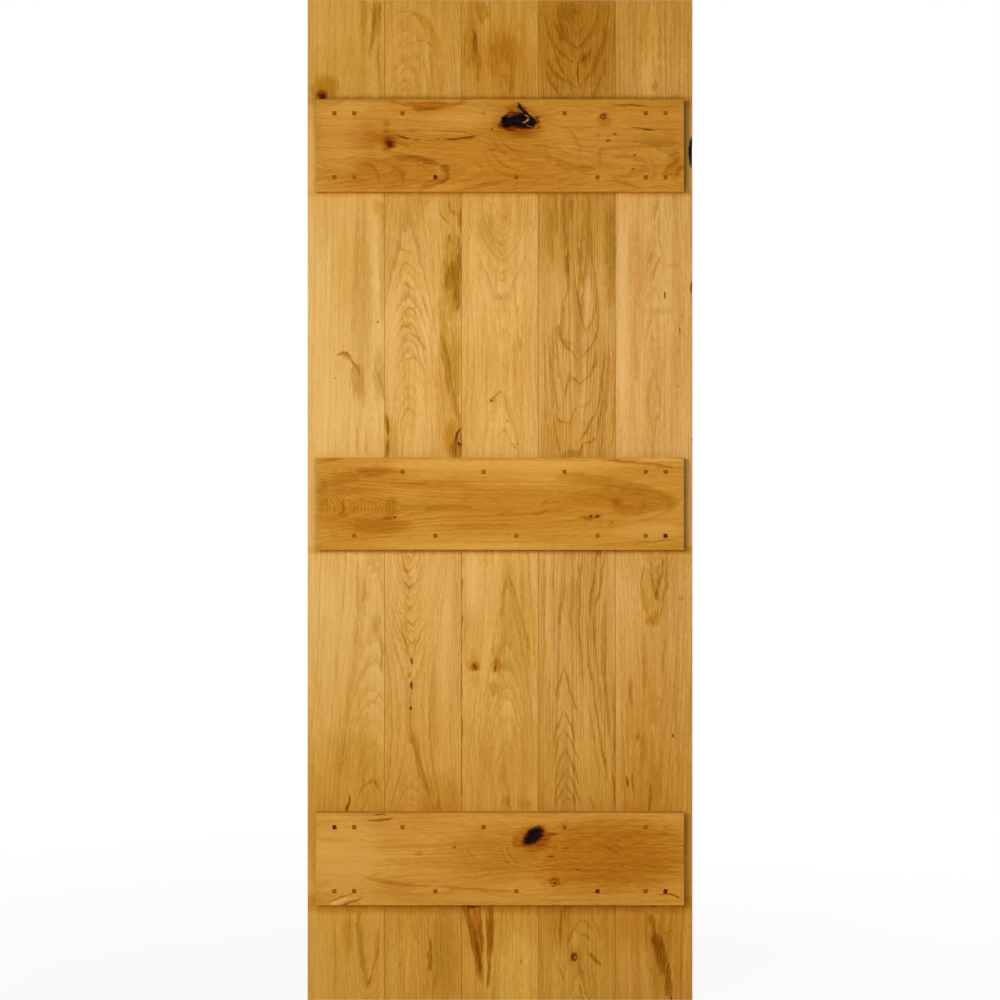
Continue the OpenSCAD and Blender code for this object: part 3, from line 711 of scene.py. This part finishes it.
boards["board_5"] = dict(
    seed=5, pale="#E3B268", honey="#CC9648", brown="#96601C", figure=0.4, streak=1.3, patch=0.8, arris=0.4,
    amber=0.9, ringWidth=8, squeeze=1.6, jag=0.9, wander=1.2,
    pith=[
        (0, 0, 110), (400, 4, 96), (790, 6, 74), (890, 6, 52), (1000, 2, 34), (1205, -4, 26), (1450, 0, 60),
        (1581, 0, 80), (1981, 0, 86),
    ],
    through=dict(olive=[(4, 820, 22, 60, 0.6)], pin=[(38, 526, 3, 6, 0.8), (22, 1397, 2, 9, 0.6)]),
    spots=dict(
        streak=[(-16, 1910, 17, 75, 0.25), (2, 756, 12, 22, 0.6), (50, 60, 14, 70, 0.3)],
        smudge=[
            (2, 1810, 7, 14, 0.3), (5, 800, 5, 12, 0.6), (-12, 752, 7, 12, 0.3), (-30, 522, 3.5, 14, 0.4),
            (-52, 433, 3.4, 15, 0.75), (-42, 432, 3, 24, 0.5),
        ],
        sap=[(20, 1850, 80, 110, 0.35), (0, 1580, 80, 90, 0.3)],
        amber=[(0, 150, 110, 70, 0.7), (0, 420, 100, 130, 0.8), (0, 560, 90, 380, 0.45)],
        olive=[
            (0, 880, 110, 70, 0.25), (36, 1456, 16, 7, 0.3), (14, 1364, 30, 8, 0.3), (48, 1285, 6, 9, 0.4),
            (2, 830, 28, 90, 0.45), (53, 797, 12, 6, 0.6), (-20, 500, 10, 40, 0.5), (12, 80, 30, 90, 0.5),
        ],
        pale=[(-60, 1340, 15, 330, 0.5), (-1, 537, 2.5, 16, 0.5)],
        pin=[
            (21.7, 1396.5, 1.8, 10, 0.7), (57, 1358, 2, 4, 0.4), (52, 1327, 1.8, 7, 0.5),
            (48, 1216, 2, 4, 0.4), (36, 524, 2.2, 5.5, 0.85), (33, 5, 3, 4, 0.6), (75, 1411, 3.5, 14, 0.85),
            (76, 1111, 2.5, 5, 0.7),
        ],
        red=[(-46, 610, 5, 34, 0.45)], crack=[(-6, 188, 12, 4, 0.4)], bark=[(74, 1680, 7, 36, 1.0)],
    ),
    lines=dict(
        vein=[
            (2.3, 0.24, -1, 1918, 2, 1810), (2.1, 0.24, 22, 1977, 24, 1790),
            (2.1, 0.24, -40, 1977, -38, 1790), (2.3, 0.32, 12, 1593, 0, 1543),
            (2.5, 0.36, 12, 1567, 9, 1504, 15, 1477, 6, 1452, -6, 1426), (2.3, 0.28, -3, 1488, -7, 1447),
            (2.7, 0.25, -1, 1246, -13, 1184, -1, 1121), (2.6, 0.22, -1, 1246, 13, 1184, -1, 1121),
            (2.3, 0.24, -14, 1270, -2, 1312, 10, 1270), (2.3, 0.28, -35, 1306, -35, 1216),
            (3, 0.42, -19, 866, -25, 815, -2, 744), (3, 0.42, 24, 892, 27, 841, 8, 748),
            (2.8, 0.45, -7, 861, 5, 797), (2.8, 0.45, 19, 861, 6, 797),
            (2.7, 0.44, 12, 887, 18, 857, 9, 827), (2.5, 0.32, -21, 729, -18, 600),
            (2.7, 0.4, 24, 726, 20, 680, 18, 640), (2.5, 0.32, 13, 430, 13, 398),
            (2.3, 0.32, -14, 183, -15, 102), (2.3, 0.32, 14, 138, 26, 132, 35, 138),
        ],
        smudge=[
            (4, 0.4, -7, 428, -7, 376), (7, 0.5, -6, 170, 4, 126), (12, 0.7, 2, 134, 16, 92, 29, 44),
            (7, 0.6, 28, 56, 32, 6),
        ],
    ),
)
# Painted shade where the ledges meet the boards: darker bands along each ledge's edges, put in as halo
# strokes: height, half height and strength
ledgeShade = ((1780, 13, 0.45), (1598, 10, 0.3), (892, 12, 0.35), (192, 24, 0.5))
bandReach = 120  # mm to each side, past a board's edges
shadeBands = [
    (halfHeight, strength, -bandReach, height, bandReach, height)
    for height, halfHeight, strength in ledgeShade
]
leafHeight = (cadBox[1][2] - cadBox[0][2]) / mm
boardPitch = (cadBox[1][0] - cadBox[0][0]) / len(boards)
for index, (name, piece) in enumerate(boards.items()):
    middle = cadBox[0][0] + (index + 0.5) * boardPitch
    # the painted shade bands along the ledges' edges go in with the board's halo strokes
    piece["lines"]["halo"] = shadeBands
    dress(name, oiledOak("oiled_oak_" + name, piece, (middle, boardFace, 0), "Z", (0, leafHeight)))
print("door: boards dressed")

# Ledges, grain lying along x, which is counted from the middle of the leaf, and heights from the
# ledge's middle. pith: x, height and depth in mm. swells: x, height, half width, half height and how
# far they push the rings. The rest is as for the boards.
ledges = {}
ledges["top_ledge"] = dict(
    seed=11, pale="#D4983C", honey="#BC7C22", brown="#8A520A", figure=0.5, streak=1.0, patch=1.1, arris=0.6,
    amber=0.3, ringWidth=9, squeeze=1.5, jag=0.9, wander=1.3,
    pith=[(-363, -48, 26), (-240, -48, 46), (-115, -48, 66), (100, -44, 96), (363, -36, 120)],
    swells=[(-219, 5, 60, 44, 9), (32, 46, 110, 80, 18), (204, 57, 40, 30, 6), (330, -30, 50, 40, 9)],
    spots=dict(
        amber=[
            (-235, -54, 150, 44, 1.2), (20, -60, 190, 38, 1.0), (-100, -4, 130, 30, 0.6),
            (10, 0, 110, 90, 0.6), (-272, 16, 46, 32, 1.0),
        ],
        gold=[
            (-300, 74, 70, 18, 0.5), (-310, 10, 60, 90, 0.3), (190, 16, 150, 62, 0.12),
            (-60, 56, 90, 26, 0.35),
        ],
        halo=[
            (-140, 80, 72, 8, 0.85), (-219, 8, 26, 28, 0.75), (-9, 46, 15, 16, 0.8), (36, 44, 70, 40, 0.6),
            (206, 50, 20, 18, 0.6),
        ],
        smudge=[(-146, 71, 36, 5, 0.55), (-219, 2, 14, 15, 0.4), (-106, -46, 15, 10, 0.4)],
        red=[(-219, 5, 16, 18, 0.6), (-214, -2, 5, 5, 0.5), (32, 63, 13, 6, 0.8), (36, 48, 46, 26, 0.75)],
        pin=[
            (-218, 2, 6, 6.5, 0.7), (-18, 33, 3, 2.6, 0.5), (204.5, 56.7, 9, 8.5, 0.8),
            (226, 21, 6, 2.2, 0.45), (214, 9, 6, 4, 0.6), (264, -17.5, 4, 4, 0.6), (262, -47, 4.5, 2.8, 0.5),
        ],
        sap=[(-235, 75, 85, 13, 0.6), (-95, 52, 85, 13, 0.5)],
        olive=[
            (-224, 36, 9, 20, 0.6), (23, 74, 18, 10, 0.8), (50, 24, 30, 10, 0.7), (345, -40, 24, 34, 0.7),
        ],
        crack=[
            (76, 36, 5, 3, 0.7), (3, 38, 10, 8, 0.7), (22, 35, 24, 8, 0.9), (50, 36, 24, 7, 0.9),
            (73, 48, 7, 10, 0.8), (24, 62, 18, 7, 0.8), (46, 68, 18, 12, 0.9, -45),
        ],
        pink=[(204.5, 56.5, 2.2, 2.2, 0.8)], vein=[(192, 19, 7, 3, 0.6), (266, 8, 4, 3, 0.5)],
        streak=[(315, 6, 50, 11, 0.5), (168, -46, 24, 9, 0.5)],
        bark=[
            (12, 47, 13, 15, 1.0), (31, 48, 20, 13, 1.0), (46, 40, 26, 7, 1.0), (63, 47, 10, 10, 1.0),
            (43, 56, 11, 10, 1.0), (53, 50, 10, 8, 0.95),
        ],
    ),
    lines=dict(
        pin=[(4.5, 1.0, 33, 82, 49, 67)],
        bark=[(2.4, 0.8, 36, 78, 49, 67), (4.5, 1.0, 45, 68, 54, 62, 66, 52)],
        gold=[(1.4, 0.5, 36, 74, 45, 63), (1.5, 0.7, 49, 59, 60, 54), (1.6, 0.7, 46, 45, 58, 52)],
        pink=[(1.6, 0.5, 50, 41.5, 64, 38)],
        vein=[
            (3.3, 0.44, -345, 76, -321, 82, -305, 91), (2.5, 0.48, -172, 12, -158, 12),
            (2.3, 0.32, -183, 28, -159, 27), (2.7, 0.32, -360, -5, -234, -3),
            (4.2, 0.4, -288, -43, -240, -48, -237, -78), (3.1, 0.36, -360, -21, -310, -28, -278, -21),
            (3.5, 0.32, -205, -44, -190, -58, -196, -82), (2.1, 0.28, -129, 27, -42, 28),
            (2.5, 0.32, -33, -3, -13, -8, -3, 5), (3.1, 0.32, 9, -8, 12, -22),
            (2.9, 0.28, -53, -31, -33, -42), (3.5, 0.36, -79, -89, -33, -78, 17, -71),
            (2.7, 0.4, 192, 37, 204, 40, 217, 37), (2.5, 0.4, 138, 33, 162, 31, 192, 37),
            (4.2, 0.48, 318, -60, 334, -40, 358, -22), (3.5, 0.4, 346, -62, 352, -48, 360, -38),
            (3.5, 0.36, 92, 40, 150, 18, 158, -28), (3.5, 0.32, 206, 0, 194, -16, 200, -40),
            (2.7, 0.32, 147, -1, 175, -6, 200, -1), (3.5, 0.32, 220, -71, 254, -76, 279, -85),
            (2, 0.36, -13, 12, 8, -19, 60, -25), (2, 0.36, -24, 2, -3, -35, 70, -46),
            (2, 0.36, -3, 17, 18, -6, 55, -12), (2, 0.32, 60, 2, 102, -4, 143, -19),
            (2, 0.32, 70, -19, 112, -25, 149, -46), (2.4, 0.22, -36, 0, -16, -46, 66, -60),
        ],
        halo=[(5, 0.7, -222, 90, -160, 76, -62, 90), (6, 0.5, -202, 7, -178, -2)],
        crack=[
            (3, 0.9, -203, 23, -194, 18, -176, 14), (2, 0.6, -129, 12, -116, 12),
            (2.6, 0.85, -112, 11, -78, 13, -42, 17), (3, 0.6, 220, 81, 262, 79, 297, 76),
            (2.6, 0.85, 256, 35, 276, 32, 308, 31),
        ],
        streak=[
            (6, 0.5, -215, -18, -160, -24, -118, -36, -102, -44, -98, -56),
            (6, 0.45, -98, -56, -128, -70, -162, -88), (4, 0.5, 200, -8, 250, -6, 347, 1),
        ],
        shade=[(6, 0.7, -205, -20, -150, -28, -108, -42), (5, 0.7, -108, -42, -100, -58, -128, -74)],
    ),
)
ledges["middle_ledge"] = dict(
    seed=12, pale="#D2983A", honey="#BC7E20", brown="#8A520C", figure=0.47, streak=1.0, patch=0.8, arris=0.6,
    amber=0.3, ringWidth=9, squeeze=2.2, jag=0.6, wander=1.0,
    pith=[(-363, -8, 16), (-225, -8, 96), (150, -6, 122), (363, 2, 164)],
    swells=[(182, -25, 30, 20, 5)],
    spots=dict(
        gold=[
            (0, 76, 330, 14, 0.5), (-40, -84, 260, 9, 0.45), (310, 87, 60, 7, 0.7), (295, -54, 90, 22, 0.4),
        ],
        amber=[
            (-20, -5, 330, 54, 0.7), (120, -30, 140, 26, 0.5), (-243, 64, 60, 14, 1.2),
            (-240, -42, 90, 22, 1.6), (-280, 0, 110, 90, 0.7), (-140, 36, 120, 12, 1.2),
            (210, 8, 140, 28, 1.2), (-40, -44, 130, 10, 0.9),
        ],
        olive=[(-350, 18, 14, 44, 0.5)], red=[(-308, -8, 3, 16, 0.5), (-308, -20, 14, 6, 0.4)],
        streak=[(-212, -6, 18, 24, 0.45), (232, 1, 18, 16, 0.35)], smudge=[(-222, -28, 15, 5, 0.4)],
        pin=[(-207, -27, 3.6, 3, 0.5), (178, -24, 4.4, 3.4, 0.7), (189, -23.7, 7, 2.8, 0.8)],
        halo=[(176, -28, 14, 7, 0.7)], vein=[(219, -37, 5, 6, 0.5)], sap=[(-145, 0, 85, 85, 0.55)],
    ),
    lines=dict(
        vein=[
            (3.1, 0.48, -360, 81, -338, 86, -308, 90), (2.1, 0.32, -229, 43, -129, 39),
            (2.1, 0.28, -75, 31, -11, 29), (3.1, 0.32, -9, -22, 12, -20, 29, -15),
            (3.1, 0.4, 60, -25, 85, -18, 105, -6), (2.7, 0.32, 77, -5, 92, 5, 103, 10),
            (2.7, 0.36, 103, 7, 119, 2), (2.5, 0.4, 189, -24, 201, -23.5),
            (2.5, 0.6, 200, 88, 283, 80, 356, 72), (2.5, 0.32, 209, -45, 220, -37),
            (2.5, 0.36, 262, -79, 308, -72, 356, -73),
        ],
        streak=[
            (10, 0.4, -352, 33, -283, 53, -211, 75), (5, 0.35, -199, -5, -60, -5),
            (11, 0.5, 115, 55, 242, 40, 349, 8), (10, 0.5, 352, 2, 290, -12, 232, -19),
        ],
        olive=[(4, 0.6, 150, -27, 170, -26)],
    ),
)
ledges["bottom_ledge"] = dict(
    seed=13, pale="#DEA44A", honey="#C68628", brown="#8E560E", figure=0.36, streak=0.9, patch=1.0, arris=0.6,
    amber=0.2, ringWidth=10, squeeze=1.4, jag=0.8, wander=1.4,
    pith=[(-363, -66, 86), (-100, -60, 74), (100, -52, 66), (363, -46, 84)],
    swells=[(65, 44, 100, 70, 14), (107, -45, 34, 26, 6)],
    spots=dict(
        gold=[
            (-310, -5, 95, 100, 0.6), (-250, 60, 100, 24, 0.3), (250, -76, 90, 12, 0.3),
            (-60, -76, 120, 10, 0.3),
        ],
        sap=[(-300, -5, 110, 100, 0.65), (290, -45, 75, 28, 0.45)],
        amber=[(215, 5, 215, 95, 1.9), (10, 10, 160, 70, 0.8)],
        smudge=[(-160, 11, 10, 6, 0.25), (-271, 39, 6, 4, 0.4), (131, 22, 8, 4, 0.45)],
        pin=[
            (-90, 23, 3.6, 3.6, 0.6), (101, 4, 8, 4, 0.4), (108, -47, 4, 4, 0.95),
            (65, 44.5, 33, 18, 0.8, 40),
        ],
        vein=[(-88, 33, 4, 2.5, 0.5), (155, -21, 8, 3, 0.5), (240, -13, 5, 3, 0.5), (227, 29, 5, 3, 0.4)],
        halo=[(36, 34, 16, 16, 0.9), (66, 42, 46, 36, 0.75), (107, -44, 15, 14, 0.8)],
        olive=[(56, 8, 34, 16, 0.4)], red=[(84, 38, 18, 18, 0.6), (98, 50, 16, 5, 0.9)],
        bark=[(65, 45, 28, 14.5, 1.0, 40)],
    ),
    lines=dict(
        crack=[
            (3, 0.85, -262, 80, -232, 76, -206, 87), (2.6, 0.6, -255, 86, -237, 88, -221, 86),
            (2.6, 0.7, -334, -84, -309, -73, -288, -66), (3, 0.7, -317, -92, -291, -83, -270, -72),
            (1.3, 0.8, 97, -47, 106, -36, 117, -44), (1.3, 0.65, 97, -47, 107, -55, 117, -46),
            (2.6, 0.7, 312, -70, 335, -69, 358, -75),
        ],
        vein=[
            (2.7, 0.48, -363, 38, -325, 39, -290, 39), (2.5, 0.28, -348, -29, -291, -32),
            (3.5, 0.52, -291, -30, -230, -45, -131, -53), (2.7, 0.4, -131, -53, -49, -58, 52, -67),
            (3.1, 0.36, -260, -34, -244, -27, -228, -28), (2.5, 0.4, -291, -83, -272, -85),
            (2.7, 0.32, 109, 30, 110, 15), (2.5, 0.24, -66, 23, -47, -2),
            (2.5, 0.32, 123, 32, 143, 31, 175, 44), (2.7, 0.36, 202, 31, 213, 19, 237, 13),
            (2.5, 0.28, 255, 52, 355, 47), (3, 0.26, 18, 30, 20, 6, 42, -8),
            (3, 0.22, 6, 28, 10, -2, 36, -18), (2.4, 0.26, 194, 32, 225, 37, 257, 26),
            (2.4, 0.26, 199, 24, 225, 26, 251, 16),
        ],
        pale=[(3, 0.7, -334, -89, -300, -79)],
        sap=[
            (3, 0.5, 12, 30, 15, 2, 40, -13), (3, 0.4, -52, 26, -46, 10, -28, 2),
            (3, 0.4, -70, 24, -64, 8, -46, 0),
        ],
    ),
)
# Ripples across the grain near the middle ledge's left end: a row, and a fan of longer ones
ripple = (1.4, 0.3)  # half width in mm and strength
ripples = ledges["middle_ledge"]["lines"]["vein"]
for x in range(-297, -212, 7):
    ripples.append((*ripple, x, 10 + x % 5, x + 4, -4, x, -24 + x % 6))
for k, x in enumerate(range(-298, -258, 8)):
    ripples.append((*ripple, x, 34 - k, x - 45, 6, x - 42, -30 + k))

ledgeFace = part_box("top_ledge")[0].y
for name, piece in ledges.items():
    low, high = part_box(name)
    halfLength = (high.x - low.x) / 2 / mm
    origin = (0, ledgeFace, (low.z + high.z) / 2)
    dress(name, oiledOak("oiled_oak_" + name, piece, origin, "X", (-halfLength, halfLength)))
print("door: ledges dressed")

# Pegs: cleft oak driven end on; some heads have darkened and some have kept the ledge's colour
pegs = dict(
    colours=dict(dark="#6A1C02", brown="#94540A", faint="#9E600A", hidden="#BC8028"),
    heads=dict(  # first letters of the colours, left to right, the upper row first
        top_ledge_pegs=("bbbhbbf", "bfdbbbb"),
        middle_ledge_pegs=("hhbfbbb", "hfbfffd"),
        bottom_ledge_pegs=("dbfbbfh", "fbbfdbd"),
    ),
    # mm, the upper row, which the lower one mirrors
    columns=(-326.5, -287.5, -192.5, -32.5, 127.5, 287.5, 326.5),
    ringSpacing=1.4,  # mm, the year rings across a head
    ringLevel=(0.72, 1.15),  # of the head's colour, over a ring
    distortion=3, detail=2, roughness=0.7, specular=0.08,
)
waveLength = math.tau / 20  # of a wave texture at scale 1


# Cleft oak: matte end grain with close rings
def cleftOak(name, hexColour):
    material, tree = newMaterial(name)
    head = addNode(tree, "TexCoord").outputs["Object"]
    rings = addNode(tree, "TexWave", {
        "Vector": head, "Scale": waveLength / (pegs["ringSpacing"] * mm),
        "Distortion": pegs["distortion"], "Detail": pegs["detail"],
    }, bands_direction="DIAGONAL")
    least, most = pegs["ringLevel"]
    level = addNode(tree, "MapRange", {0: rings.outputs["Fac"], 3: least, 4: most})
    colour = addNode(tree, "VectorMath SCALE", {0: toLinear(hexColour)[:3], "Scale": level})
    shader = addNode(tree, "BsdfPrincipled", {
        "Base Color": colour, "Roughness": pegs["roughness"], "Specular IOR Level": pegs["specular"],
    })
    addNode(tree, "OutputMaterial", shader)
    return material


headTones = {tone[0]: cleftOak("cleft_oak_" + tone, colour) for tone, colour in pegs["colours"].items()}
for name, rows in pegs["heads"].items():
    mesh = cadNodes[name].data
    mesh.materials.clear()
    for material in headTones.values():
        mesh.materials.append(material)
    low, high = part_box(name)
    middleHeight = (low.z + high.z) / 2
    for face in mesh.polygons:
        upper = face.center.z > middleHeight
        columns = pegs["columns"] if upper else [-x for x in reversed(pegs["columns"])]
        offsets = [abs(x * mm - face.center.x) for x in columns]
        tone = rows[0 if upper else 1][offsets.index(min(offsets))]
        face.material_index = list(headTones).index(tone)
print("door: pegs dressed")
